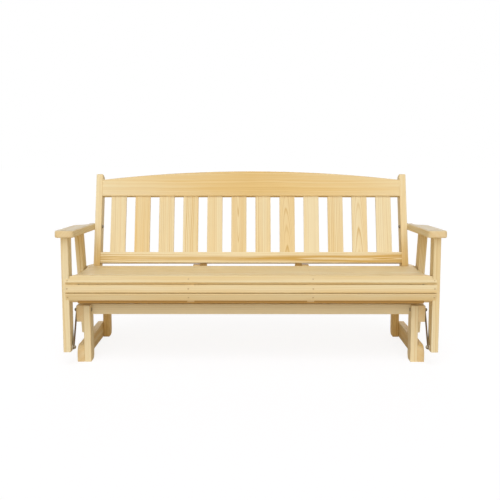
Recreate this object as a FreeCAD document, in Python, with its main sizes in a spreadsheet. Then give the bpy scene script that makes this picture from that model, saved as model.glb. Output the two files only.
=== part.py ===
import FreeCAD, Part
import math
import os
import re
import Sketcher

# Patio glider: a slatted timber bench that swings on four steel links inside a low timber base.
# Millimetres, +Z up, the sitter looks along -Y, X runs along the seat.

os.makedirs("parts", exist_ok=True)
document = FreeCAD.newDocument("GliderBench")
document.addObject("Spreadsheet::Sheet", "Sizes")
sheet = document.Sizes

SIZES = {
    # Timber: two-inch nominal lumber, three-quarter-inch slats.
    "plank_thick": "38",
    "plank_width": "89",
    "slat_thick": "19",
    "edge_round": "3",
    "slat_edge_round": "2",
    # Front faces of the front posts, measured from the middle of the bench's depth.
    "front_y": "-380.5",
    # Base.
    "leg_inner_x": "867",
    "leg_height": "311",
    "base_setback": "114",
    "base_length": "690",
    "foot_round": "33",
    "runner_round": "50",
    "stretcher_height": "57",
    "stretcher_setback": "47",
    # Links and their pivots.
    "link_gap": "12",
    "link_thick": "4",
    "link_width": "25",
    "upper_pivot_z": "283",
    "front_upper_run": "148",
    "front_lower_z": "99",
    "rear_upper_run": "484.3",
    "rear_lower_z": "125",
    "open_pivot_clearance": "3",
    # Posts and slanted rear legs of the seat.
    "post_bottom": "81",
    "rear_leg_bottom": "75",
    "rear_leg_run": "504",
    "rear_leg_tilt": "14.5",
    # Armrests.
    "arm_overhang": "43",
    "arm_underside": "696",
    "arm_tilt": "2.2",
    "arm_side_overhang": "23",
    "arm_length": "665",
    "arm_straight": "450",
    "arm_curve": "85",
    "arm_edge_round": "8",
    "arm_corner_round": "20",
    # Seat boards: a row of them on a shallow dish, three narrow ones round the front edge.
    "dish_radius": "2176",
    "dish_low_run": "341.7",
    "dish_low_z": "468",
    "dish_start_angle": "-6.984",
    "board_gap": "3",
    "nose_overlap": "18",
    "nose_width": "41",
    "nose_gap": "1",
    "nose_top_z": "446.5",
    "nose_tilt": "45",
    "nose_under_tilt": "26.5",
    "nose_notch_gap": "1",
    # Seat frame.
    "support_bottom": "345",
    "support_step_z": "472",
    "support_rear_z": "459",
    "support_end_run": "655",
    "support_end_rise": "45",
    "support_flat_run": "500",
    "centre_end_run": "590",
    "centre_end_rise": "30",
    "centre_support_x": "298",
    "centre_step_z": "475",
    "centre_step_run": "545",
    "centre_screw_margin": "9",
    "front_rail_run": "29",
    "front_rail_bottom": "340",
    "rear_rail_run": "395",
    "rear_rail_bottom": "351",
    "rear_rail_height": "62",
    # Reclined back, measured along the slope from the posts' lower front corners.
    "recline": "18",
    "back_run": "463",
    "back_bottom": "345",
    "back_length": "686",
    "back_top_round": "45",
    "back_front_round": "8",
    "rail_recess": "3",
    "lower_rail_start": "151",
    "lower_rail_height": "64",
    "crest_start": "552",
    "crest_end_top": "651",
    "crest_middle_top": "703",
    "back_slat_recess": "10",
    "tenon_length": "12",
    "mortise_gap": "0.3",
    "back_slats": "12",
    # Bolted and screwed joints.
    "post_bolt_z": "447",
    "post_low_bolt_run": "78",
    "post_low_bolt_z": "372",
    "leg_bolt_run": "452",
    "leg_bolt_z": "385",
    "back_bolt_run": "500",
    "back_high_bolt_run": "545",
    "back_high_bolt_z": "425",
    "brace_bolt_run": "538",
    "brace_high_bolt_run": "551",
    "arm_bolt_run": "605",
    "crest_screw_margin": "20",
    "near_screw": "0.25",
    "rail_screw_drop": "71",
    # Fasteners.
    "bolt_radius": "5",
    "bolt_chamfer": "1",
    "bolt_head_radius": "10.5",
    "bolt_head_height": "3.6",
    "bore_gap": "0.1",
    "running_gap": "0.05",
    "nut_flats": "17",
    "nut_height": "8",
    "nut_flange_radius": "10.8",
    "nut_flange_height": "1.5",
    "thread_end": "2",
    "sleeve_radius": "7",
    "flange_radius": "12",
    "upper_flange": "2",
    "screw_radius": "2.3",
    "screw_head_radius": "4.6",
    "screw_head_height": "2.8",
    "screw_sink": "0.4",
    "screw_tip": "6",
    "short_screw": "41",
    "long_screw": "68",
    "overrun": "1",
    # Layers and points that follow from the sizes above.
    "rail_inner_x": "=leg_inner_x + plank_thick",
    "rail_outer_x": "=rail_inner_x + plank_thick",
    "post_inner_x": "=rail_outer_x + link_gap",
    "post_outer_x": "=post_inner_x + plank_thick",
    "support_inner_x": "=post_inner_x - plank_thick",
    "back_inner_x": "=support_inner_x - plank_thick",
    "link_inner_x": "=rail_outer_x + upper_flange",
    "lower_flange": "=link_gap - upper_flange - link_thick",
    "base_front_y": "=front_y + base_setback",
    "rear_leg_y": "=base_front_y + base_length - plank_width",
    "front_upper_y": "=front_y + front_upper_run",
    "front_lower_run": "=plank_width / 2",
    "front_lower_y": "=front_y + front_lower_run",
    "rear_upper_y": "=front_y + rear_upper_run",
    "rear_leg_level": "=plank_width / cos(rear_leg_tilt)",
    "rear_lower_y": "=front_y + rear_leg_run + rear_leg_level / 2"
                    " - (rear_lower_z - rear_leg_bottom) * tan(rear_leg_tilt)",
    "arm_front_y": "=front_y - arm_overhang",
    "arm_outer_x": "=post_outer_x + arm_side_overhang",
    "arm_bolt_z": "=arm_underside - (arm_bolt_run + arm_overhang) * tan(arm_tilt) + plank_thick / 2",
    "board_half_length": "=post_inner_x - link_gap",
    "nose_half_length": "=post_inner_x + nose_overlap",
    "board_angle": "=(plank_width + board_gap) / dish_radius * 180 / pi",
    "seat_boards": "=floor((back_run + (dish_low_z - back_bottom) * tan(recline) - dish_low_run"
                   " + dish_radius * sin(board_angle / 2 - dish_start_angle)) / (plank_width + board_gap))",
    "dish_y": "=front_y + dish_low_run",
    "dish_z": "=dish_low_z + dish_radius",
    "bed_radius": "=dish_radius + slat_thick",
    "first_bed_y": "=dish_y + bed_radius * sin(dish_start_angle)",
    "first_bed_z": "=dish_z - bed_radius * cos(dish_start_angle)",
    "nose_facet": "=nose_width + nose_gap",
    "nose_run": "=(first_bed_z + (front_y - first_bed_y) * tan(dish_start_angle) - nose_top_z)"
                " / (1 / tan(nose_tilt) - tan(dish_start_angle))",
    "nose_low_z": "=nose_top_z - nose_facet",
    "bed_corner_radius": "=bed_radius / cos(board_angle / 2)",
    "back_y": "=front_y + back_run",
    "slat_pitch": "=plank_width + (2 * back_inner_x - back_slats * plank_width) / (back_slats + 1)",
    "brace_x": "=centre_support_x - plank_thick",
    "brace_front": "=rail_recess + plank_thick",
    "centre_outer_x": "=centre_support_x + plank_thick",
    "centre_screw_x": "=centre_outer_x - centre_screw_margin",
    "far_screw": "=1 - near_screw",
}

for row, (alias, content) in enumerate(SIZES.items(), start=1):
    cell = "A%d" % row
    sheet.set(cell, content)
    sheet.setAlias(cell, alias)
document.recompute()

SIDES = {"left": -1, "right": 1}
TOUCHING = 0.001
NEAR = 1
ACROSS = FreeCAD.Vector(1, 0, 0)
DEEP = FreeCAD.Vector(0, 1, 0)
UP = FreeCAD.Vector(0, 0, 1)


def formula(text):
    """The same formula with the sheet's name written before every size in it."""
    def named(found):
        return "Sizes." + found.group() if found.group() in SIZES else found.group()
    return re.sub(r"[a-z][a-z_]*", named, str(text))


def value(text):
    """The number that a formula has with the sheet's present sizes."""
    return float(sheet.evalExpression(formula(text)))


def bind(item, **formulas):
    """Bind properties of a document object; double underscores stand for dots."""
    for name, text in formulas.items():
        item.setExpression(name.replace("__", "."), formula(text))
    return item


def place(item, x="0", y="0", z="0", angle="0", axis=ACROSS):
    """Bind an object's position and its turn about one axis, which a turn of 0 would not keep."""
    item.Placement = FreeCAD.Placement(FreeCAD.Vector(), FreeCAD.Rotation(axis, value(angle) or 1))
    return bind(item, Placement__Base__x=x, Placement__Base__y=y, Placement__Base__z=z,
                Placement__Rotation__Angle=angle)


def outward(side, inner, thick="plank_thick"):
    """The lower X of a piece whose inner face lies at this distance from the middle."""
    return inner if side > 0 else "-(%s) - (%s)" % (inner, thick)


def edges_of(feature, wanted):
    """Names of the edges of a feature that a test on the edge accepts."""
    edges = enumerate(feature.Shape.Edges, start=1)
    return ["Edge%d" % number for number, edge in edges if wanted(edge)]


def rounded(body, wanted, radius="edge_round"):
    """Round the edges of a body that a test accepts."""
    document.recompute()
    tip = body.Tip
    fillet = body.newObject("PartDesign::Fillet", "Round")
    fillet.Base = (tip, edges_of(tip, wanted))
    bind(fillet, Radius=radius)
    return body


def along(direction):
    """A test for straight edges that run along a direction."""
    def wanted(edge):
        first, last = edge.Vertexes[0].Point, edge.Vertexes[-1].Point
        run = last - first
        straight = edge.Curve.TypeId == "Part::GeomLine"
        return straight and abs(run.normalize().dot(direction)) > 1 - TOUCHING
    return wanted


def on_faces(direction):
    """A test for edges that lie in one of the two outer faces across a direction."""
    def wanted(edge):
        ends = [vertex.Point.dot(direction) for vertex in edge.Vertexes]
        return max(ends) - min(ends) < TOUCHING
    return wanted


def board(name, length, width, height, grain, corner=None, corner_radius=None, ease="edge_round"):
    """A straight plank with its long edges eased, and corners rounded first where a test is given."""
    body = document.addObject("PartDesign::Body", name)
    box = body.newObject("PartDesign::AdditiveBox", "Plank")
    bind(box, Length=length, Width=width, Height=height)
    if corner:
        rounded(body, corner, corner_radius)
    return rounded(body, along(grain), ease)


def outlined(body, plane, corners):
    """A closed sketch on one of the body's origin planes.

    A corner is (across, up) or (across, up, radius): with a radius the edge to the next corner
    is an arc, whose centre lies on the left hand of the way round if the radius is positive.
    """
    support = [feature for feature in body.Origin.OriginFeatures if feature.Role == plane][0]
    sketch = body.newObject("Sketcher::SketchObject", "Outline")
    sketch.AttachmentSupport = [(support, "")]
    sketch.MapMode = "FlatFace"
    points = [FreeCAD.Vector(value(corner[0]), value(corner[1]), 0) for corner in corners]
    ends = []
    for number, corner in enumerate(corners):
        start, finish = points[number], points[(number + 1) % len(points)]
        if len(corner) == 2:
            sketch.addGeometry(Part.LineSegment(start, finish), False)
            ends.append((1, 2))
            continue
        radius = value(corner[2])
        if radius < 0:
            start, finish = finish, start
        chord = finish - start
        rise = math.sqrt(max(radius ** 2 - chord.Length ** 2 / 4, 0))
        middle = (start + finish) / 2 + UP.cross(chord).normalize() * rise
        angles = [math.atan2(point.y - middle.y, point.x - middle.x) for point in (start, finish)]
        sketch.addGeometry(Part.ArcOfCircle(Part.Circle(middle, UP, abs(radius)), *angles), False)
        ends.append((1, 2) if radius > 0 else (2, 1))
    for number, (first, last) in enumerate(ends):
        following = (number + 1) % len(ends)
        sketch.addConstraint(
            Sketcher.Constraint("Coincident", number, last, following, ends[following][0]))
    for number, corner in enumerate(corners):
        first = ends[number][0]
        for kind, text, label in (("DistanceX", corner[0], "across"), ("DistanceY", corner[1], "up")):
            sketch.addConstraint(Sketcher.Constraint(kind, -1, 1, number, first, value(text)))
            sketch.renameConstraint(sketch.ConstraintCount - 1, "%s_%d" % (label, number))
            sketch.setExpression("Constraints.%s_%d" % (label, number), formula(text))
        if len(corner) == 3:
            sketch.addConstraint(Sketcher.Constraint("Radius", number, abs(value(corner[2]))))
            sketch.renameConstraint(sketch.ConstraintCount - 1, "radius_%d" % number)
            sketch.setExpression("Constraints.radius_%d" % number, formula("abs(%s)" % corner[2]))
    return sketch


def sawn(name, plane, corners, thick="plank_thick", middle=False):
    """A piece sawn to an outline from a plank of even thickness."""
    body = document.addObject("PartDesign::Body", name)
    pad = body.newObject("PartDesign::Pad", "Sawn")
    pad.Profile = outlined(body, plane, corners)
    pad.Midplane = middle
    bind(pad, Length=thick)
    return body


def turned(name, corners):
    """A solid of revolution about Z from its half outline."""
    body = document.addObject("PartDesign::Body", name)
    revolution = body.newObject("PartDesign::Revolution", "Turned")
    revolution.Profile = outlined(body, "XZ_Plane", corners)
    revolution.ReferenceAxis = (revolution.Profile[0], ["V_Axis"])
    revolution.Angle = 360
    return body


# Fasteners and their bores are drawn once, with the entry face at Z = 0 and the shank downwards.


def bolt_pair(name, length):
    """A domed bolt and the bore that it needs."""
    head = "(bolt_head_radius ^ 2 + bolt_head_height ^ 2) / (2 * bolt_head_height)"
    bolt = turned(name, [("0", "-(%s)" % length), ("bolt_radius - bolt_chamfer", "-(%s)" % length),
                         ("bolt_radius", "bolt_chamfer - (%s)" % length), ("bolt_radius", "0"),
                         ("bolt_head_radius", "0", head), ("0", "bolt_head_height")])
    bore = document.addObject("Part::Cylinder", name + "_bore")
    bind(bore, Radius="bolt_radius + bore_gap", Height="%s + 2 * overrun" % length)
    place(bore, z="-(%s) - overrun" % length)
    return bolt, bore


def screw_pair(name, length):
    """A countersunk wood screw, drawn with a flat seat, and its stepped hole."""
    seat = "-(screw_sink + screw_head_height)"
    screw = turned(name, [("0", "-(%s)" % length), ("screw_radius", "screw_tip - (%s)" % length),
                          ("screw_radius", seat), ("screw_head_radius", seat),
                          ("screw_head_radius", "-screw_sink"), ("0", "-screw_sink")])
    bore = turned(name + "_bore", [
        ("0", "-(%s) - overrun" % length), ("screw_radius + bore_gap", "screw_tip - (%s)" % length),
        ("screw_radius + bore_gap", seat), ("screw_head_radius + bore_gap", seat),
        ("screw_head_radius + bore_gap", "overrun"), ("0", "overrun")])
    return screw, bore


def bushing_pair(name, flange):
    """A flanged sleeve whose flange stands up from Z = 0, and the hole for its sleeve."""
    inner = "bolt_radius + running_gap"
    bushing = turned(name, [
        (inner, "-plank_thick"), ("sleeve_radius", "-plank_thick"), ("sleeve_radius", "0"),
        ("flange_radius", "0"), ("flange_radius", flange), (inner, flange)])
    bore = document.addObject("Part::Cylinder", name + "_bore")
    bind(bore, Radius="sleeve_radius + running_gap", Height="plank_thick + overrun")
    place(bore, z="-plank_thick")
    return bushing, bore


def flange_nut():
    """A hexagon nut with a round flange on its bearing face, threaded on downwards from Z = 0."""
    body = document.addObject("PartDesign::Body", "FlangeNut")
    corner = "nut_flats / (2 * cos(30))"
    hexagon = [("cos(%d) * %s" % (angle, corner), "sin(%d) * %s" % (angle, corner))
               for angle in range(0, 360, 60)]
    pad = body.newObject("PartDesign::Pad", "Hexagon")
    pad.Profile = outlined(body, "XY_Plane", hexagon)
    pad.Reversed = True
    bind(pad, Length="nut_height")
    flange = body.newObject("PartDesign::AdditiveCylinder", "Flange")
    bind(flange, Radius="nut_flange_radius", Height="nut_flange_height")
    place(flange, z="-nut_flange_height")
    hole = body.newObject("PartDesign::SubtractiveCylinder", "Thread")
    bind(hole, Radius="bolt_radius + running_gap", Height="nut_height + 2 * overrun")
    place(hole, z="-nut_height - overrun")
    return body


BEYOND_NUT = " + nut_height + thread_end"
UPPER_PIVOT = " + upper_flange + link_thick" + BEYOND_NUT
FASTENERS = {
    "lower_pivot_bolt": bolt_pair("LowerPivotBolt", "plank_thick + lower_flange + link_thick" + BEYOND_NUT),
    "front_upper_bolt": bolt_pair("FrontUpperBolt", "2 * plank_thick" + UPPER_PIVOT),
    "rear_upper_bolt": bolt_pair("RearUpperBolt", "plank_thick" + UPPER_PIVOT),
    "two_ply_bolt": bolt_pair("TwoPlyBolt", "2 * plank_thick" + BEYOND_NUT),
    "three_ply_bolt": bolt_pair("ThreePlyBolt", "3 * plank_thick" + BEYOND_NUT),
    "short_screw": screw_pair("ShortScrew", "short_screw"),
    "long_screw": screw_pair("LongScrew", "long_screw"),
    "upper_bushing": bushing_pair("UpperBushing", "upper_flange"),
    "lower_bushing": bushing_pair("LowerBushing", "lower_flange"),
    "nut": (flange_nut(), None),
}

groups = {}
bores = {}


def copy_of(source, x, y, z, angle, axis):
    """A linked copy of a drawn object in a place of its own."""
    link = document.addObject("App::Link", "Copy")
    link.LinkedObject = source
    link.LinkTransform = True
    return place(link, x, y, z, angle, axis)


def fasten(kind, node, pieces, x, y, z, angle="0", axis=ACROSS):
    """Set one fastener into a node's group and its bore into each piece that it passes."""
    fastener, bore = FASTENERS[kind]
    groups.setdefault(node, []).append(copy_of(fastener, x, y, z, angle, axis))
    if bore:
        hole = copy_of(bore, x, y, z, angle, axis)
        for piece in pieces:
            bores.setdefault(piece, []).append(hole)


def sideways(kind, node, pieces, side, x, y, z, inwards=True):
    """A fastener along X whose entry face lies at a distance from the middle."""
    turn = 90 if inwards == (side > 0) else -90
    fasten(kind, node, pieces, x if side > 0 else "-(%s)" % x, y, z, str(turn), DEEP)


nodes = {}


def keep(label, solid):
    """Note a finished piece under its node's name."""
    nodes[label] = solid


# Base: two end frames, each of two legs with a top rail and a floor runner screwed on outside,
# tied by a stretcher at the front and one at the back.


def foot_corner(edge):
    """A test for the lower edge at a leg's back."""
    middle = edge.CenterOfMass
    return along(ACROSS)(edge) and middle.z < NEAR < middle.y


for name, side in SIDES.items():
    leg_x = outward(side, "leg_inner_x")
    rail_x = outward(side, "rail_inner_x")
    for end, leg_y in (("front", "base_front_y"), ("rear", "rear_leg_y")):
        label = "base_leg_%s_%s" % (end, name)
        leg = board(label, "plank_thick", "plank_width", "leg_height", UP, foot_corner, "foot_round")
        keep(label, place(leg, leg_x, leg_y))
    rail = board("base_top_rail_" + name, "plank_thick", "base_length", "plank_width", DEEP)
    keep("base_top_rail_" + name, place(rail, rail_x, "base_front_y", "leg_height - plank_width"))
    runner = board("base_runner_" + name, "plank_thick", "base_length", "plank_width", DEEP,
                   lambda edge: along(ACROSS)(edge) and edge.CenterOfMass.z > NEAR, "runner_round")
    keep("base_runner_" + name, place(runner, rail_x, "base_front_y"))

for end, leg_y in (("front", "base_front_y"), ("rear", "rear_leg_y")):
    label = "base_stretcher_" + end
    stretcher = board(label, "2 * leg_inner_x", "plank_thick", "stretcher_height", ACROSS)
    stretcher_y = "base_front_y + stretcher_setback"
    if end == "rear":
        stretcher_y = "rear_leg_y + (plank_width - plank_thick) / 2"
    keep(label, place(stretcher, "-leg_inner_x", stretcher_y, "leg_height - stretcher_height"))
    for name, side in SIDES.items():
        leg = "base_leg_%s_%s" % (end, name)
        for share in ("near_screw", "far_screw"):
            across = "%s + plank_width * %s" % (leg_y, share)
            sideways("long_screw", "base_screws", [leg, label], side, "rail_inner_x",
                     stretcher_y + " + plank_thick / 2", "leg_height - stretcher_height * " + share)
            sideways("long_screw", "base_screws", [leg, "base_top_rail_" + name], side, "rail_outer_x",
                     across, "leg_height - rail_screw_drop")
            sideways("long_screw", "base_screws", [leg, "base_runner_" + name], side, "rail_outer_x",
                     across, "plank_width / 2")

# Links: flat steel straps with rounded ends that hang from the top rails. The front pair and
# the rear pair splay apart downwards, so the seat dips in front as it swings back.

PIVOTS = {
    "front": ("front_upper_y", "front_lower_y", "front_lower_z"),
    "rear": ("rear_upper_y", "rear_lower_y", "rear_lower_z"),
}

for end, (upper_y, lower_y, lower_z) in PIVOTS.items():
    length = "sqrt((upper_pivot_z - {1}) ^ 2 + ({0} - {2}) ^ 2)".format(upper_y, lower_z, lower_y)
    lean = "atan(({2} - {0}) / (upper_pivot_z - {1}))".format(upper_y, lower_z, lower_y)
    for name, side in SIDES.items():
        label = "swing_link_%s_%s" % (end, name)
        strap = document.addObject("Part::Box", "Strap")
        bind(strap, Length="link_thick", Width="link_width", Height=length)
        place(strap, y="-link_width / 2", z="-(%s)" % length)
        ends, holes = [], []
        for eye, height in (("upper", "0"), ("lower", "-(%s)" % length)):
            running = "open_pivot_clearance" if (end, eye) == ("rear", "lower") else "running_gap"
            for pieces, radius in ((ends, "link_width / 2"), (holes, "bolt_radius + " + running)):
                disc = document.addObject("Part::Cylinder", "Eye")
                bind(disc, Radius=radius, Height="link_thick")
                pieces.append(place(disc, z=height, angle="90", axis=DEEP))
        blank = document.addObject("Part::MultiFuse", "StrapBlank")
        blank.Shapes = [strap] + ends
        blank.Refine = True
        pierced = document.addObject("Part::Compound", "StrapHoles")
        pierced.Links = holes
        link = document.addObject("Part::Cut", "StrapCut")
        link.Base, link.Tool = blank, pierced
        keep(label, place(link, outward(side, "link_inner_x", "link_thick"), upper_y, "upper_pivot_z", lean))
        rail = "base_top_rail_" + name
        upper = (upper_y, "upper_pivot_z")
        sideways("upper_bushing", "base_bushings", [rail], side, "rail_outer_x", *upper)
        if end == "front":
            pieces = [rail, "base_leg_front_" + name]
            sideways("front_upper_bolt", "base_bolts", pieces, side, "leg_inner_x", *upper, inwards=False)
            sideways("nut", "base_nuts", [], side, "link_inner_x + link_thick", *upper, inwards=False)
        else:
            sideways("rear_upper_bolt", "base_bolts", [rail], side, "link_inner_x + link_thick", *upper)
            sideways("nut", "base_nuts", [], side, "rail_inner_x", *upper)
        post = ("front_post_" if end == "front" else "rear_leg_") + name
        lower = (lower_y, lower_z)
        sideways("lower_pivot_bolt", "seat_bolts", [post], side, "post_outer_x", *lower)
        sideways("lower_bushing", "seat_bushings", [post], side, "post_inner_x", *lower, inwards=False)
        sideways("nut", "seat_nuts", [], side, "link_inner_x", *lower)

# Seat uprights: plumb front posts and slanted rear legs, both cut to the armrest's slope on top.


def under_arm(run):
    """Height of the armrest's underside over a point in the depth of the bench."""
    return "arm_underside - ((%s) - arm_front_y) * tan(arm_tilt)" % run


def slanted_top(start):
    """Height at which a slanted edge that starts at the rear leg's lower end meets the armrest."""
    return ("(arm_underside - (({0}) + rear_leg_bottom * tan(rear_leg_tilt) - arm_front_y) * tan(arm_tilt))"
            " / (1 - tan(rear_leg_tilt) * tan(arm_tilt))").format(start)


def slanted_y(start, height):
    """Place in the depth of a slanted edge at a height."""
    return "(%s) - ((%s) - rear_leg_bottom) * tan(rear_leg_tilt)" % (start, height)


for name, side in SIDES.items():
    post = sawn("front_post_" + name, "YZ_Plane", [
        ("front_y", "post_bottom"), ("front_y + plank_width", "post_bottom"),
        ("front_y + plank_width", under_arm("front_y + plank_width")), ("front_y", under_arm("front_y"))])
    rounded(post, along(UP))
    keep("front_post_" + name, place(post, outward(side, "post_inner_x")))
    fore, aft = "front_y + rear_leg_run", "front_y + rear_leg_run + rear_leg_level"
    leg = sawn("rear_leg_" + name, "YZ_Plane", [
        (fore, "rear_leg_bottom"), (aft, "rear_leg_bottom"),
        (slanted_y(aft, slanted_top(aft)), slanted_top(aft)),
        (slanted_y(fore, slanted_top(fore)), slanted_top(fore))])
    lean = math.radians(value("rear_leg_tilt"))
    rounded(leg, along(FreeCAD.Vector(0, -math.sin(lean), math.cos(lean))))
    keep("rear_leg_" + name, place(leg, outward(side, "post_inner_x")))

# Seat frame: two contoured side supports, two centre supports lapped over the rails, two rails.

board_count = int(value("seat_boards"))
bed = []
for count in range(board_count, -1, -1):
    turn = "(dish_start_angle + (%d - 1 / 2) * board_angle)" % count
    bed.append(("dish_y + bed_corner_radius * sin%s" % turn, "dish_z - bed_corner_radius * cos%s" % turn))
bed[-1] = ("front_y + nose_run", "nose_top_z + nose_run / tan(nose_tilt)")
bed += [("front_y", "nose_top_z"), ("front_y", "nose_low_z")]
bed_end = bed[0][0]

side_outline = [
    ("front_y + (nose_low_z - support_bottom) * tan(nose_under_tilt)", "support_bottom"),
    ("front_y + support_flat_run", "support_bottom"),
    ("front_y + support_end_run", "support_bottom + support_end_rise"),
    ("front_y + support_end_run", "support_rear_z"), (bed_end, "support_step_z")] + bed

rail_top = "front_rail_bottom + plank_width"
lap_top = "rear_rail_bottom + rear_rail_height"
centre_outline = [
    ("front_y + front_rail_run", "nose_low_z - front_rail_run / tan(nose_under_tilt)"),
    ("front_y + front_rail_run", rail_top), ("front_y + front_rail_run + plank_thick", rail_top),
    ("front_y + front_rail_run + plank_thick", "support_bottom"),
    ("front_y + rear_rail_run", "support_bottom"),
    ("front_y + rear_rail_run", lap_top), ("front_y + rear_rail_run + plank_thick", lap_top),
    ("front_y + rear_rail_run + plank_thick", "support_bottom"),
    ("front_y + support_flat_run", "support_bottom"),
    ("front_y + centre_end_run", "support_bottom + centre_end_rise"),
    ("front_y + centre_end_run", "support_rear_z"),
    ("front_y + centre_step_run", "centre_step_z"), (bed_end, "centre_step_z")] + bed

for name, side in SIDES.items():
    support = sawn("side_support_" + name, "YZ_Plane", side_outline)
    keep("side_support_" + name, place(support, outward(side, "support_inner_x")))
    centre = sawn("centre_support_" + name, "YZ_Plane", centre_outline)
    keep("centre_support_" + name, place(centre, outward(side, "centre_support_x")))

for end, run, bottom, height in (("front", "front_rail_run", "front_rail_bottom", "plank_width"),
                                 ("rear", "rear_rail_run", "rear_rail_bottom", "rear_rail_height")):
    rail = board("seat_rail_" + end, "2 * support_inner_x", "plank_thick", height, ACROSS)
    keep("seat_rail_" + end, place(rail, "-support_inner_x", "front_y + " + run, bottom))
    for name, side in SIDES.items():
        pieces = ["side_support_" + name, "seat_rail_" + end]
        for share in ("near_screw", "far_screw"):
            sideways("long_screw", "seat_screws", pieces, side, "post_inner_x",
                     "front_y + %s + plank_thick / 2" % run, "%s + %s * %s" % (bottom, height, share))

# Seat boards: three narrow ones round the front edge, then five on the dish. A board's own frame
# has Y across its width and Z through its thickness, from the face that lies on the supports.


def seat_board(label, half_length, width, y, z, angle, screws):
    """One board across the supports with a screw at each support."""
    plank = board(label, "2 * " + half_length, width, "slat_thick", ACROSS, ease="slat_edge_round")
    keep(label, place(plank, "-" + half_length, y, z, angle))
    for screw_x, across, support in screws:
        for name, side in SIDES.items():
            fasten("short_screw", "seat_screws", [label, support + name], "%d * (%s)" % (side, screw_x),
                   "{0} + ({2}) * cos({1}) - slat_thick * sin({1})".format(y, angle, across),
                   "{0} + ({2}) * sin({1}) + slat_thick * cos({1})".format(z, angle, across), angle)


side_screw = ("support_inner_x + plank_thick / 2", "plank_width / 2", "side_support_")
centre_screw = ("centre_screw_x", "plank_width / 2", "centre_support_")
narrow_screw = ("centre_screw_x", "nose_width / 2", "centre_support_")
end_x = "nose_half_length - nose_gap - plank_thick / 4"
narrow = ((end_x, "nose_width / 2", "front_post_"), narrow_screw)
low = ((end_x, "nose_width / 4", "front_post_"), narrow_screw)
seat_board("seat_board_nose", "nose_half_length", "nose_width",
           "front_y + nose_gap / 2 * sin(nose_tilt)", "nose_top_z + nose_gap / 2 * cos(nose_tilt)",
           "90 - nose_tilt", low)
seat_board("seat_board_front", "nose_half_length", "nose_width",
           "front_y", "nose_low_z + nose_gap / 2", "90", narrow)
seat_board("seat_board_under", "nose_half_length", "nose_width",
           "front_y + (nose_facet - nose_gap / 2) * sin(nose_under_tilt)",
           "nose_low_z - (nose_facet - nose_gap / 2) * cos(nose_under_tilt)", "90 + nose_under_tilt", narrow)

for number in range(board_count):
    turn = "(dish_start_angle + %d * board_angle)" % number
    seat_board("seat_board_%d" % (number + 1), "board_half_length", "plank_width",
               "dish_y + bed_radius * sin{0} - plank_width / 2 * cos{0}".format(turn),
               "dish_z - bed_radius * cos{0} - plank_width / 2 * sin{0}".format(turn), turn,
               (side_screw, centre_screw))

# The boards above and below the upright one slant past the front posts and are notched round them.

for label, bottom in (("seat_board_nose", "nose_top_z"), ("seat_board_under", "nose_low_z - plank_width")):
    for side in SIDES.values():
        notch = document.addObject("Part::Box", "Notch")
        bind(notch, Length="2 * plank_thick", Width="plank_width", Height="plank_width")
        place(notch, outward(side, "post_inner_x - nose_notch_gap", "2 * plank_thick"), "front_y", bottom)
        bores[label].append(notch)

# Back: drawn upright in a frame of its own, which leans with the back posts. In that frame Y runs
# through the thickness and Z along the slope.


def on_back(across, up):
    """Depth and height of a point of the leaning frame."""
    return ("back_y + ({0}) * cos(recline) + ({1}) * sin(recline)".format(across, up),
            "back_bottom + ({1}) * cos(recline) - ({0}) * sin(recline)".format(across, up))


def leaning(item, x="0", across="0", up="0"):
    """Set a piece of the back into its leaning place."""
    y, z = on_back(across, up)
    return place(item, x, y, z, "-recline")


level_cut = "plank_width * tan(recline)"
lower_rail_top = "lower_rail_start + lower_rail_height"
post_outline = [
    ("0", "0"), ("plank_width", level_cut),
    ("plank_width", "back_length - back_top_round", "back_top_round"),
    ("plank_width - back_top_round", "back_length"), ("back_front_round", "back_length", "back_front_round"),
    ("0", "back_length - back_front_round")]
brace_outline = [
    ("brace_front", "brace_front * tan(recline)"), ("plank_width", level_cut),
    ("plank_width", lower_rail_top), ("brace_front", lower_rail_top)]

for name, side in SIDES.items():
    post = rounded(sawn("back_post_" + name, "YZ_Plane", post_outline), on_faces(ACROSS))
    keep("back_post_" + name, leaning(post, outward(side, "back_inner_x")))
    brace = sawn("back_brace_" + name, "YZ_Plane", brace_outline)
    keep("back_brace_" + name, leaning(brace, outward(side, "brace_x")))

lower_rail = board("back_rail_lower", "2 * back_inner_x", "plank_thick", "lower_rail_height", ACROSS)
keep("back_rail_lower", leaning(lower_rail, "-back_inner_x", "rail_recess", "lower_rail_start"))
crest_radius = ("(back_inner_x ^ 2 + (crest_middle_top - crest_end_top) ^ 2)"
                " / (2 * (crest_middle_top - crest_end_top))")
crest = sawn("back_rail_crest", "XZ_Plane", [
    ("-back_inner_x", "crest_start"), ("back_inner_x", "crest_start"),
    ("back_inner_x", "crest_end_top", crest_radius), ("-back_inner_x", "crest_end_top")], middle=True)
rounded(crest, lambda edge: edge.Length > value("back_inner_x"))
keep("back_rail_crest", leaning(crest, "0", "rail_recess + plank_thick / 2"))

slat_front = "rail_recess + back_slat_recess"
slat_start = lower_rail_top + " - tenon_length"
slat_length = "crest_start - lower_rail_start - lower_rail_height + 2 * tenon_length"
for number in range(int(value("back_slats"))):
    label = "back_slat_%02d" % (number + 1)
    slat_x = "(%d - (back_slats - 1) / 2) * slat_pitch - plank_width / 2" % number
    slat = board(label, "plank_width", "slat_thick", slat_length, UP, ease="slat_edge_round")
    keep(label, leaning(slat, slat_x, slat_front, slat_start))
    for rail, start in (("back_rail_lower", slat_start), ("back_rail_crest", "crest_start - overrun")):
        mortise = document.addObject("Part::Box", "Mortise")
        bind(mortise, Length="plank_width + 2 * mortise_gap", Width="slat_thick + 2 * mortise_gap",
             Height="tenon_length + overrun")
        leaning(mortise, slat_x + " - mortise_gap", slat_front + " - mortise_gap", start)
        bores.setdefault(rail, []).append(mortise)

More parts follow.
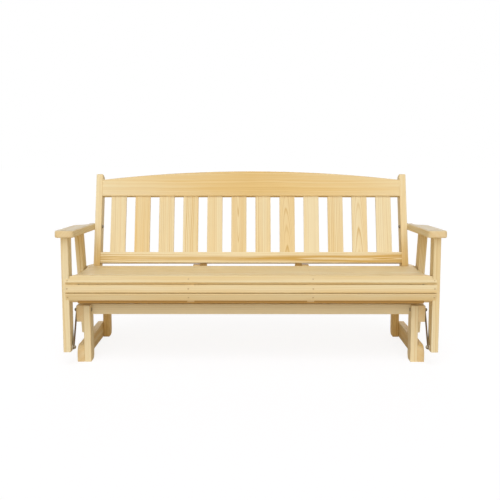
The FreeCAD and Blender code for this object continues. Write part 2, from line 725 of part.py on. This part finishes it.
for name, side in SIDES.items():
    for rail, up in (("back_rail_lower", "lower_rail_start + near_screw * lower_rail_height"),
                     ("back_rail_lower", "lower_rail_start + far_screw * lower_rail_height"),
                     ("back_rail_crest", "crest_start + crest_screw_margin"),
                     ("back_rail_crest", "crest_end_top - crest_screw_margin")):
        y, z = on_back("rail_recess + plank_thick / 2", up)
        sideways("long_screw", "seat_screws", ["back_post_" + name, rail], side, "support_inner_x", y, z)
    for share in ("near_screw", "far_screw"):
        y, z = on_back("plank_width", "lower_rail_start + %s * lower_rail_height" % share)
        fasten("long_screw", "seat_screws", ["back_brace_" + name, "back_rail_lower"],
               "%d * (brace_x + plank_thick / 2)" % side, y, z, "-90 - recline")

# Armrests: straight along the back posts inside, narrowed behind the elbow by an S-curve outside.

curve_turn = "acos(1 - (arm_outer_x - post_inner_x) / (2 * arm_curve))"
curve_half = "arm_curve * sin(%s)" % curve_turn
for name, side in SIDES.items():
    outline = [("support_inner_x", "0"), ("arm_outer_x", "0"), ("arm_outer_x", "arm_straight", "arm_curve"),
               ("(arm_outer_x + post_inner_x) / 2", "arm_straight + " + curve_half, "-arm_curve"),
               ("post_inner_x", "arm_straight + 2 * " + curve_half), ("post_inner_x", "arm_length"),
               ("support_inner_x", "arm_length")]
    if side < 0:
        following = outline[1:] + outline[:1]
        outline = [("-(%s)" % corner[0], corner[1]) + tuple(arc[2:])
                   for corner, arc in zip(following, outline)][::-1]
    arm = sawn("arm_" + name, "XY_Plane", outline)
    rounded(arm, lambda edge: along(UP)(edge) and edge.CenterOfMass.y < NEAR, "arm_corner_round")
    rounded(arm, on_faces(UP), "arm_edge_round")
    keep("arm_" + name, place(arm, "0", "arm_front_y", "arm_underside", "-arm_tilt"))
    leg_run = slanted_y("front_y + rear_leg_run + rear_leg_level / 2", "arm_underside")
    for post, run in (("front_post_", "front_y + near_screw * plank_width"),
                      ("front_post_", "front_y + far_screw * plank_width"), ("rear_leg_", leg_run)):
        fasten("long_screw", "seat_screws", ["arm_" + name, post + name],
               "%d * (post_inner_x + plank_thick / 2)" % side, run,
               under_arm(run) + " + plank_thick / cos(arm_tilt)", "-arm_tilt")

# Bolted joints of the seat frame.

for name, side in SIDES.items():
    support, post, leg, back = ["%s_%s" % (piece, name)
                                for piece in ("side_support", "front_post", "rear_leg", "back_post")]
    centre = ["centre_support_" + name, "back_brace_" + name]
    outer, inner = "post_outer_x", "support_inner_x"
    frame_joints = (
        ("two_ply_bolt", [post, support], outer, inner, "plank_width / 2", "post_bolt_z"),
        ("two_ply_bolt", [post, support], outer, inner, "post_low_bolt_run", "post_low_bolt_z"),
        ("two_ply_bolt", [leg, support], outer, inner, "leg_bolt_run", "leg_bolt_z"),
        ("three_ply_bolt", [leg, support, back], outer, "back_inner_x", "back_bolt_run", "leg_bolt_z"),
        ("two_ply_bolt", [support, back], "post_inner_x", "back_inner_x",
         "back_high_bolt_run", "back_high_bolt_z"),
        ("two_ply_bolt", ["arm_" + name, back], "post_inner_x", "back_inner_x",
         "arm_bolt_run", "arm_bolt_z"),
        ("two_ply_bolt", centre, "centre_outer_x", "brace_x", "brace_bolt_run", "leg_bolt_z"),
        ("two_ply_bolt", centre, "centre_outer_x", "brace_x", "brace_high_bolt_run", "back_high_bolt_z"),
    )
    for kind, pieces, head_x, nut_x, run, height in frame_joints:
        sideways(kind, "seat_bolts", pieces, side, head_x, "front_y + " + run, height)
        sideways("nut", "seat_nuts", [], side, nut_x, "front_y + " + run, height)

# Bores are taken out of the pieces, and like fasteners are gathered into one node each.

for label, solid in list(nodes.items()):
    if label in bores:
        holes = document.addObject("Part::Compound", label + "_holes")
        holes.Links = bores[label]
        cut = document.addObject("Part::Cut", label + "_bored")
        cut.Base, cut.Tool = solid, holes
        nodes[label] = cut

for label, members in groups.items():
    group = document.addObject("Part::Compound", label)
    group.Links = members
    nodes[label] = group

document.recompute()

for item in document.Objects:
    if {"Invalid", "Error"} & set(item.State):
        raise RuntimeError("%s did not build: %s" % (item.Label, item.State))

for label, solid in nodes.items():
    solid.Label = label
    if solid.Shape.isNull() or not solid.Shape.isValid():
        raise RuntimeError(label + " has no valid shape")
    solid.Shape.exportStep(os.path.join("parts", label + ".step"))
    print(label, len(solid.Shape.Solids), round(solid.Shape.Volume))
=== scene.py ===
import math
import random
import bmesh
import bpy
import numpy as np
from mathutils import Matrix, Vector


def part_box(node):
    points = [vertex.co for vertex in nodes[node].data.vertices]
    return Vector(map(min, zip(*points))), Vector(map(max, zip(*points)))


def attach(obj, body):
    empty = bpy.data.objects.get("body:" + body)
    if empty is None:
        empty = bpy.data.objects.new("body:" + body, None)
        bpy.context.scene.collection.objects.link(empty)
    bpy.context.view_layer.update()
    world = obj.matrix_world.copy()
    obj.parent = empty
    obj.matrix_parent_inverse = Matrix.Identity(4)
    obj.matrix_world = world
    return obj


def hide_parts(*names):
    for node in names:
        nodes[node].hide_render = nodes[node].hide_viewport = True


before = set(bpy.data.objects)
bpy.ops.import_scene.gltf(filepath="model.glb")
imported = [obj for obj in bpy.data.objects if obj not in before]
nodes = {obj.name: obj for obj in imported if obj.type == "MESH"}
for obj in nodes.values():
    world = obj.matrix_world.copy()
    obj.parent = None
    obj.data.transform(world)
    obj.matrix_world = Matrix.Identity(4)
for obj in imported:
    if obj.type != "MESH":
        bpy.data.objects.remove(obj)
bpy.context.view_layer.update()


# Camera and light: the bench stands on a pale floor under a broad, soft studio light from the front,
# seen from a little above its seat by a lens that takes in the whole bench with room round it.

camera = bpy.data.objects.new("camera", bpy.data.cameras.new("camera"))
camera.data.lens = 62.29
camera.data.sensor_width = 36
camera.location = (0.0092, -4.859, 1.207)
camera.rotation_euler = (math.radians(82.64), 0, math.radians(0.168))
bpy.context.scene.collection.objects.link(camera)
bpy.context.scene.camera = camera
bpy.context.scene.view_settings.view_transform = "Standard"


def sun(name, towards, strength, spread):
    """A distant soft lamp that shines along a direction; spread is its width in the sky, in degrees."""
    lamp = bpy.data.objects.new(name, bpy.data.lights.new(name, "SUN"))
    lamp.data.energy = strength
    lamp.data.angle = math.radians(spread)
    lamp.rotation_euler = Vector(towards).to_track_quat("-Z", "Y").to_euler()
    bpy.context.scene.collection.objects.link(lamp)


sun("high_light", (0.03, 1, -1.3), 1.12, 40)
sun("front_light", (0.03, 1, -0.3), 0.86, 36)
sun("back_light", (-0.05, -1, -0.27), 0.75, 45)


# Pine: the whole bench is bare sanded pine. Every board is sawn from a log of its own, whose heart runs
# beside it, and the yearly rings round the heart make the arches and stripes on its faces and the arcs
# on its ends. Lengths are in metres.

class Wire:
    """An output socket in a node tree: a sum written with it becomes Math nodes."""

    def __init__(self, tree, socket=None):
        self.tree = tree
        self.socket = socket

    def add(self, kind, settings={}, sockets={}, output=0):
        """Add a node: its settings come first, then the values or links of its sockets."""
        node = self.tree.nodes.new("ShaderNode" + kind)
        for name, setting in settings.items():
            if name == "stops":
                while len(node.color_ramp.elements) < len(setting):
                    node.color_ramp.elements.new(0.5)
                for stop, (position, grey) in zip(node.color_ramp.elements, setting):
                    stop.position = position
                    stop.color = (grey, grey, grey, 1)
            else:
                setattr(node, name, setting)
        for name, value in sockets.items():
            if isinstance(value, Wire):
                self.tree.links.new(value.socket, node.inputs[name])
            else:
                node.inputs[name].default_value = value
        return Wire(self.tree, node.outputs[output] if len(node.outputs) else None)

    def maths(self, operation, *others):
        return self.add("Math", {"operation": operation}, dict(enumerate((self,) + others)))

    def held(self):
        """This number, kept between 0 and 1."""
        return self.maths("MINIMUM", 1.0).maths("MAXIMUM", 0.0)

    def dot(self, direction):
        return self.add("VectorMath", {"operation": "DOT_PRODUCT"}, {0: self, 1: direction}, "Value")

    def less(self, point):
        return self.add("VectorMath", {"operation": "SUBTRACT"}, {0: self, 1: point})

    def noise(self, size, seed=0, detail=2, roughness=0.5):
        """Smooth noise from 0 to 1 along one number or through space; size is the length of one wave."""
        flat = self.socket.type == "VALUE"
        point = {"W": self + seed} if flat else {"Vector": self, "W": seed}
        return self.add("TexNoise", {"noise_dimensions": "1D" if flat else "4D"},
                        {**point, "Scale": 1 / size, "Detail": detail, "Roughness": roughness})

    def ramp(self, *stops):
        return self.add("ValToRGB", {"stops": stops}, {0: self})

    def blend(self, first, second):
        """The first colour where this is 0 and the second where it is 1."""
        return self.add("Mix", {"data_type": "RGBA"}, {0: self, 6: first, 7: second}, 2)


def operator(operation, reflected):
    def combine(self, other):
        first, second = (other, self) if reflected else (self, other)
        return self.add("Math", {"operation": operation}, {0: first, 1: second})
    return combine


for word, operation in {"add": "ADD", "sub": "SUBTRACT", "mul": "MULTIPLY", "truediv": "DIVIDE"}.items():
    setattr(Wire, "__%s__" % word, operator(operation, False))
    setattr(Wire, "__r%s__" % word, operator(operation, True))


def paint(red, green, blue):
    """A colour as it is read from a colour card, from 0 to 255 each, as linear light."""
    return tuple(((c / 255 + 0.055) / 1.055) ** 2.4 for c in (red, green, blue)) + (1,)


def finish_of(name):
    """A new material without nodes, and a wire to start its nodes from."""
    material = bpy.data.materials.new(name)
    material.use_nodes = True
    material.node_tree.nodes.clear()
    return material, Wire(material.node_tree)


def shade(start, **sockets):
    """End a material in one Principled shader with these sockets."""
    named = {name.replace("_", " "): value for name, value in sockets.items()}
    start.add("OutputMaterial", {}, {"Surface": start.add("BsdfPrincipled", {}, named)})


def dress(node, material):
    """Give a CAD node a finish of its own."""
    nodes[node].data.materials.clear()
    nodes[node].data.materials.append(material)


EARLY = paint(235, 222, 186)     # the pale wood of spring
GOLD = paint(232, 204, 144)      # the same wood where it holds more resin
LATE = paint(199, 160, 78)       # the dark line that ends a year
END = paint(222, 198, 154)       # the sawn ends
PAINTED_SHEEN_GREY = paint(178, 169, 155)     # the grey of a painted sheen on an upper face

# Each way to saw a board: the least and most that the heart lies to its side, that it lies below its
# face, and that it slopes along it.
CUTS = {
    "flat": ((0, 0.012), (0.026, 0.042), (0.02, 0.045)),
    "rift": ((0.07, 0.12), (0.05, 0.09), (0, 0.008)),
    "quarter": ((0.11, 0.15), (0.02, 0.04), (0, 0.004)),
    "long": ((0, 0.008), (0.028, 0.036), (0.007, 0.011)),
}

HEART_WAVE, HEART_WANDER = 0.5, 0.012     # the heart wanders this far aside in waves of this length
GROWTH, ZONE = 0.02, 0.022                # good and bad years, and golden zones, come at this distance
RIPPLE = (0.22, 0.05)                     # length and breadth of the waves in a ring
CLOUD = (0.7, 0.07)                       # and of the golden clouds,
STREAK = (0.35, 0.006)                    # the long streaks
FIBRE = (0.06, 0.0016)                    # and the fibres
ACROSS, DEEP, UP = Vector((1, 0, 0)), Vector((0, 1, 0)), Vector((0, 0, 1))
draws = random.Random(11)


def pine(node, grain, face, cut="rift", ring=0.0075, tone=0.5, figure=0.5, band=1.0, cast=(1, 1, 1),
         middle=0.0, foot=0.0, sheen_paint=0.0):
    """Bare sanded pine for one board, from its grain's direction and the normal of its broad face.

    ring is the width of a year. tone goes from pale to golden, figure and band are the strength of the
    lines and of the broad zones, and cast tints the board. middle is how much more golden it is half-way
    along, foot how much painted shade turns it golden towards the end that the grain comes from, and
    bloom how much painted grey sheen its top gets.
    """
    early, gold, late_wood = (tuple(part * tint for part, tint in zip(colour, cast)) + (1,)
                              for colour in (EARLY, GOLD, LATE))
    low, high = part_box(node)
    grain, face = Vector(grain).normalized(), Vector(face).normalized()
    width = face.cross(grain)
    side, depth, slope = (draws.choice((-1, 1)) * draws.uniform(*limits) for limits in CUTS[cut])
    seed = draws.uniform(0, 50)
    material, start = finish_of(node + "_pine")
    here = start.add("TexCoord", output="Object").less((low + high) / 2)
    along, across, through = here.dot(grain), here.dot(width), here.dot(face)
    facing = start.add("TexCoord", output="Normal")

    def stretched(length, breadth):
        return start.add("CombineXYZ", {}, {0: along / length, 1: across / breadth, 2: through / breadth})

    # The distance from the heart, and the years counted along it.
    from_heart = across - side + (along.noise(HEART_WAVE, seed, 1) - 0.5) * HEART_WANDER
    above_heart = through - depth - along * slope
    reach = (from_heart * from_heart + above_heart * above_heart).maths("SQRT")
    reach = reach + (stretched(*RIPPLE).noise(1, seed, 3) - 0.5) * ring * 0.9
    rings = reach / ring + reach.noise(GROWTH, seed, 1) * 1.2
    year = start.add("TexWhiteNoise", {"noise_dimensions": "1D"}, {"W": rings.maths("FLOOR") + seed}, 0)
    late = rings.maths("FRACT").ramp((0, 0.35), (0.1, 0), (0.62, 0.05), (0.9, 1), (1, 0.5))
    late = late * (0.25 + year * 0.75)

    # The softer marks, and where along the board it is more golden: heartwood half-way along, and painted
    # shade at one end.
    zone = reach.noise(ZONE, seed + 3, 1)
    cloud = stretched(*CLOUD).noise(1, seed + 5, 2)
    fibre = stretched(*FIBRE).noise(1, seed, 2)
    streak = stretched(*STREAK).noise(1, seed + 7, 2)
    from_middle = along / (abs((high - low).dot(grain)) / 2)
    near_middle = 0.5 - from_middle.maths("ABSOLUTE")
    near_foot = (-0.1 - from_middle).maths("MAXIMUM", 0.0)
    heartwood_and_painted_shade = near_middle * middle + near_foot * foot

    # How golden the wood is, how much of the late wood shows, and the paler ends and the painted grey sheen
    # on the top.
    golden = cloud * 1.4 - 0.4 + (zone - 0.5) * 1.1 * band + (tone - 0.5) * 2.2 + heartwood_and_painted_shade
    amount = late * (0.18 + 0.62 * figure) + (zone - 0.5) * 0.5 * figure * band + (streak - 0.5) * 0.24
    amount = amount + (fibre - 0.5) * 0.1 + (tone - 0.5) * 0.5 + 0.05 + heartwood_and_painted_shade * (0.3 + late)
    colour = amount.held().blend(golden.held().blend(early, gold), late_wood)
    sawn = facing.dot(grain).maths("ABSOLUTE").ramp((0.6, 0), (0.9, 1))
    colour = (sawn * 0.6).blend(colour, END)
    # Painted sheen: the faces that look up are turned grey, as if they reflected the sky.
    upward = facing.dot(UP).ramp((0.6, 0), (0.9, 1))
    colour = (upward * sheen_paint).blend(colour, PAINTED_SHEEN_GREY)
    bump = start.add("Bump", {}, {"Strength": 0.2, "Distance": 0.0004, "Height": late * 0.4 + fibre * 0.6})
    shade(start, Base_Color=colour, Roughness=0.6 - late * 0.1 + fibre * 0.06, Normal=bump)
    dress(node, material)


# Base: two end frames of pine planks on edge, each of two legs with a top rail and a runner on the
# floor. Two long stretchers of the same plank tie the frames, and all of it is screwed together.

for side in ("left", "right"):
    pine("base_leg_front_" + side, UP, ACROSS, tone=0.32)
    # The rear legs' and the runners' more golden tones are painted shade.
    pine("base_leg_rear_" + side, UP, ACROSS, tone=0.84)
    pine("base_top_rail_" + side, DEEP, ACROSS)
    pine("base_runner_" + side, DEEP, ACROSS, tone=0.62)
pine("base_stretcher_front", ACROSS, DEEP, tone=0.28)
pine("base_stretcher_rear", ACROSS, DEEP)


# Seat frame: front posts and slanted rear legs hang down outside the base and are bolted to the sawn
# side supports. Two rails, half-lapped over the supports, carry the middle of the seat. All of it is
# two-inch pine plank, with painted shade as a browner tint on the pieces under the seat.

REAR_LEG_TILT = 14.5
# A browner tint of painted shade, for the boards under and behind the seat.
PAINTED_SHADE_TINT = (0.88, 0.82, 0.7)


def tilted(degrees, vector):
    """A direction turned about the bench's length."""
    return Matrix.Rotation(math.radians(degrees), 3, "X") @ vector


for side, tone in (("left", 0.38), ("right", 0.5)):
    pine("front_post_" + side, UP, ACROSS, tone=tone, cast=(0.98, 1, 1.04))
    # foot gives the top of the slanted leg, under the arm, a painted shade of deeper gold.
    pine("rear_leg_" + side, tilted(REAR_LEG_TILT, -UP), ACROSS, tone=0.34, foot=0.4)
    pine("side_support_" + side, DEEP, ACROSS)
    # The centre supports take a deeper tone and the browner tint as painted shade.
    pine("centre_support_" + side, DEEP, ACROSS, tone=0.7, cast=PAINTED_SHADE_TINT)
# The front rail's full golden tone and dark brown cast are painted shade, for its place deep under the seat
# boards.
pine("seat_rail_front", ACROSS, DEEP, tone=1.0, cast=(0.72, 0.6, 0.42))
pine("seat_rail_rear", ACROSS, DEEP)


# Seat boards: three narrow ones round the front edge and five on the dished bed, long planed pine
# boards with eased edges, screwed down on the supports.

EDGE_BOARDS = (("nose", 45), ("front", 90), ("under", 116.5))     # how far each leans from level, in degrees
BED_START, BED_STEP = -6.98, 2.42                                 # the first bed board's lean, and the next's

for board, angle in EDGE_BOARDS:
    pine("seat_board_" + board, ACROSS, tilted(angle, UP), tone=0.5, figure=0.3)
for board in range(5):
    pine("seat_board_%d" % (board + 1), ACROSS, tilted(BED_STEP * board + BED_START, UP), cut="flat",
         tone=0.5, figure=0.3)


# Back: reclined posts and braces bolted to the seat, an arched crest rail of golden pine, a strongly
# figured lower rail, and twelve thin slats with their ends let into both rails.

RECLINE = -18
SLATS = (     # how each slat is sawn, its tone and its figure
    ("rift", 0.41, 0.50), ("rift", 0.60, 0.70), ("rift", 0.47, 0.90), ("rift", 0.48, 1.20),
    ("rift", 0.46, 0.50), ("flat", 0.50, 1.30), ("rift", 0.49, 0.75), ("flat", 0.52, 0.90),
    ("rift", 0.38, 0.25), ("rift", 0.52, 0.80), ("flat", 0.46, 0.90), ("rift", 0.36, 0.40))
SLAT_RINGS = {"rift": (0.0065, 0.009), "flat": (0.0034, 0.0042)}
rise, out = tilted(RECLINE, UP), tilted(RECLINE, DEEP)

for side in ("left", "right"):
    # foot gives the lower half of the post, below the arm, a painted shade of deeper gold.
    pine("back_post_" + side, rise, ACROSS, tone=0.42, figure=0.3, foot=1.5)
    # The braces take a deeper tone and the browner tint as painted shade.
    pine("back_brace_" + side, rise, ACROSS, tone=0.8, cast=PAINTED_SHADE_TINT)
pine("back_rail_crest", ACROSS, out, "quarter", ring=0.007, tone=0.63, figure=0.9, band=0.6, middle=0.6)
pine("back_rail_lower", ACROSS, out, "long", ring=0.0072, tone=0.27, figure=2.6, band=1.8, middle=-0.9)
for slat, (cut, tone, figure) in enumerate(SLATS):
    ring = draws.uniform(*SLAT_RINGS[cut])
    pine("back_slat_%02d" % (slat + 1), rise, out, cut, ring, tone, figure, band=0.55)


# Armrests: flat pine planks with rounded corners, bolted on the front posts and slanted legs, that fall
# a little towards the back. Their tops get a painted grey sheen, a paler top for the light they reflect.

ARM_FALL = -2.2

for side in ("left", "right"):
    pine("arm_" + side, tilted(ARM_FALL, DEEP), UP, tone=0.46, sheen_paint=0.6)


# Ironwork: the swing links are flat steel straps with a thin brown coat, and the bushings in their ends
# and between them and the timber are plain nylon. Both keep their CAD shapes.

coat, start = finish_of("link_coat")
here = start.add("TexCoord", output="Object")
grit = here.noise(0.0015, 2, 3)
patch = here.noise(0.03, 5, 2)
shade(start, Metallic=0.0, Roughness=0.5 + grit * 0.2,
      Base_Color=(grit * 0.5 + patch * 0.5).blend(paint(92, 72, 44), paint(124, 100, 66)),
      Normal=start.add("Bump", {}, {"Strength": 0.2, "Distance": 0.0002, "Height": grit}))
for side in ("left", "right"):
    for end in ("front", "rear"):
        dress("swing_link_%s_%s" % (end, side), coat)

nylon, start = finish_of("bushing_nylon_finish")
cloudy = start.add("TexCoord", output="Object").noise(0.004, 1)
shade(start, Base_Color=cloudy.blend(paint(190, 184, 168), paint(206, 201, 187)), Roughness=0.5)
for node in ("base_bushings", "seat_bushings"):
    dress(node, nylon)


# Fasteners: domed bolts with flange nuts join the frame and carry the links, and countersunk screws
# with a square recess hold the boards. All are turned steel with a dull zinc plate.

def zinc(name, dark, bright, metal):
    """Zinc plate with its faint cloudy spangle, between two greys."""
    material, start = finish_of(name)
    here = start.add("TexCoord", output="Object")
    spangle = here.noise(0.003, 4, 3)
    grain = start.add("Bump", {}, {"Strength": 0.15, "Distance": 0.0001, "Height": here.noise(0.0006, 6, 2)})
    shade(start, Base_Color=spangle.blend(dark, bright), Metallic=metal,
          Roughness=0.36 + spangle * 0.16, Normal=grain)
    return material


def places(node):
    """Each separate fastener of a CAD node: the matrix of its own axis, head first, and its length."""
    shape = bmesh.new()
    shape.from_mesh(nodes[node].data)
    bmesh.ops.remove_doubles(shape, verts=shape.verts, dist=0.00001)
    for vertex in shape.verts:
        vertex.tag = False
    for first in shape.verts:
        if first.tag:
            continue
        first.tag = True
        reached, points = [first], []
        while reached:
            vertex = reached.pop()
            points.append(vertex.co[:])
            for edge in vertex.link_edges:
                other = edge.other_vert(vertex)
                if not other.tag:
                    other.tag = True
                    reached.append(other)

        # The axis is the long way of a bolt or screw and the short way of a nut, and its widest ring
        # is the head or the flange.
        points = np.array(points)
        around = points - points.mean(0)
        axis = np.linalg.eigh(np.cov(around.T))[1][:, 0 if "nuts" in node else 2]
        height = around @ axis
        reach = np.linalg.norm(around - np.outer(height, axis), axis=1)
        rim = reach > 0.93 * reach.max()
        if height[rim].mean() > 0:
            height = -height
        centre = points[rim].mean(0)
        axis = points[height > height.max() - 0.0002].mean(0) - centre
        axis /= np.linalg.norm(axis)
        height = (points - centre) @ axis
        turn = Vector(axis).to_track_quat("Z", "Y").to_matrix().to_4x4()
        spin = Matrix.Rotation(draws.uniform(0, 6.3), 4, "Z")
        top = Matrix.Translation(Vector(centre + axis * height.min()))
        yield top @ turn @ spin, float(np.ptp(height))
    shape.free()


def turned(shape, place, sides, rings, hollow=False):
    """Add one form to a mesh from rings round its axis: each a height, and a radius or its function."""
    angles = [2 * math.pi * step / sides for step in range(sides)]
    loops = []
    for height, radius in rings:
        reaches = [radius(angle) if callable(radius) else radius for angle in angles]
        points = [Vector((reach * math.cos(angle), reach * math.sin(angle), height))
                  for angle, reach in zip(angles, reaches)]
        loops.append([shape.verts.new(place @ point) for point in points])
    for first, second in zip(loops, loops[1:] + loops[:1] * hollow):
        for step in range(sides):
            after = (step + 1) % sides
            shape.faces.new((first[step], first[after], second[after], second[step]))
    if not hollow:
        shape.faces.new(loops[0][::-1])
        shape.faces.new(loops[-1])


def polygon(flats, corners, largest=1):
    """The radius of a bar with this many corners, measured across its flats, and turned down to a size."""
    part = 2 * math.pi / corners
    return lambda angle: min(flats / 2 / math.cos((angle + part / 2) % part - part / 2), largest)


def bolt(shape, place, length):
    """A domed bolt: a smooth low head with a thin rim, and a thread on its last centimetre and a half."""
    head, dome, shank = 0.0105, 0.003, 0.005
    crest, root, half_pitch = 0.00495, 0.0043, 0.00075
    top = [(dome * (1 - math.cos(turn) ** 0.8), head * math.sin(turn)) for turn in np.linspace(0.03, 1.5, 8)]
    rim = [(0.0033, head), (0.0036, 0.0103), (0.0036, shank)]
    thread = [(length - 0.0155 + half_pitch * step, crest if step % 2 else root) for step in range(20)]
    point = [(length - 0.0007, 0.0045), (length, 0.0038)]
    turned(shape, place, 32, top + rim + [(length - 0.016, shank)] + thread + point)


def nut(shape, place, length):
    """A hexagon nut with its corners turned down, on a thin round flange."""
    bore, flange, flats = 0.0052, 0.0108, 0.017
    foot = [(0, bore), (0, 0.0106), (0.0003, flange), (0.0012, flange), (0.0016, 0.0104)]
    body = [(0.0022, polygon(flats, 6)), (0.0069, polygon(flats, 6)), (0.0075, polygon(flats, 6, 0.0092))]
    top = [(length, polygon(flats, 6, 0.0083)), (length, 0.0058), (length - 0.0006, 0.0051)]
    turned(shape, place, 48, foot + body + top, hollow=True)


def screw(shape, place, length):
    """A countersunk screw with a square recess, and a thread that draws in to a point."""
    head, shank, root, crest, pitch = 0.0046, 0.0019, 0.0016, 0.00225, 0.0024
    recess = [(0.0019, polygon(0.0021, 4)), (0.0001, polygon(0.0026, 4))]
    cone = [(0, 0.0042), (0.0003, head), (0.0007, head), (0.0028, 0.0022), (0.0075, shank)]
    one_turn = ((0, root), (0.0009, root), (0.0012, crest), (0.0015, root))
    thread = [(0.008 + pitch * turn + step, radius) for turn in range(int((length - 0.014) / pitch))
              for step, radius in one_turn]
    turned(shape, place, 16, recess + cone + thread + [(length - 0.005, root), (length, 0.0001)])


hardware = zinc("zinc_plate", paint(124, 115, 98), paint(158, 149, 130), 0.85)
screw_plate = zinc("screw_plate", paint(196, 174, 134), paint(214, 192, 150), 0.15)
KINDS = (("bolts", bolt, hardware), ("nuts", nut, hardware), ("screws", screw, screw_plate))
for body in ("base", "seat"):
    for kind, make, finish in KINDS:
        node = body + "_" + kind
        shape = bmesh.new()
        for place, length in places(node):
            make(shape, place, length)
        bmesh.ops.recalc_face_normals(shape, faces=shape.faces)
        mesh = bpy.data.meshes.new(node + "_made")
        shape.to_mesh(mesh)
        shape.free()
        mesh.shade_smooth()
        mesh.set_sharp_from_angle(angle=math.radians(32))
        mesh.materials.append(finish)
        piece = bpy.data.objects.new(node + "_made", mesh)
        bpy.context.scene.collection.objects.link(piece)
        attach(piece, body)
        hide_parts(node)


# Floor and surroundings: a pale sheet that runs out of sight under an even white sky. The camera sees
# the sheet white with the bench's soft shadow on it, and the bench is lit by its warmer real colour.

bpy.ops.mesh.primitive_plane_add(size=60)
floor = bpy.context.object
floor.name = "floor"
sheet, start = finish_of("floor_sheet")
seen = start.add("LightPath", output="Is Camera Ray")
plain = start.add("BsdfDiffuse", {}, {"Color": (0.84, 0.76, 0.64, 1)})
shadowed = start.add("BsdfDiffuse", {}, {"Color": (0.2, 0.208, 0.245, 1)})
glow = start.add("Emission", {}, {"Color": (1, 1, 1, 1), "Strength": 0.85})
pale = start.add("AddShader", {}, {0: shadowed, 1: glow})
start.add("OutputMaterial", {}, {"Surface": start.add("MixShader", {}, {0: seen, 1: plain, 2: pale})})
floor.data.materials.append(sheet)

world = bpy.data.worlds.new("surroundings")
bpy.context.scene.world = world
world.use_nodes = True
world.node_tree.nodes.clear()
start = Wire(world.node_tree)
mirrored = start.add("LightPath", output="Is Glossy Ray")
seen = start.add("LightPath", output="Is Camera Ray").maths("MAXIMUM", mirrored)
ambient = start.add("Background", {}, {"Color": (1, 0.84, 0.6, 1), "Strength": 0.38})
white = start.add("Background", {}, {"Color": (1, 1, 1, 1), "Strength": 1})
start.add("OutputWorld", {}, {"Surface": start.add("MixShader", {}, {0: seen, 1: ambient, 2: white})})
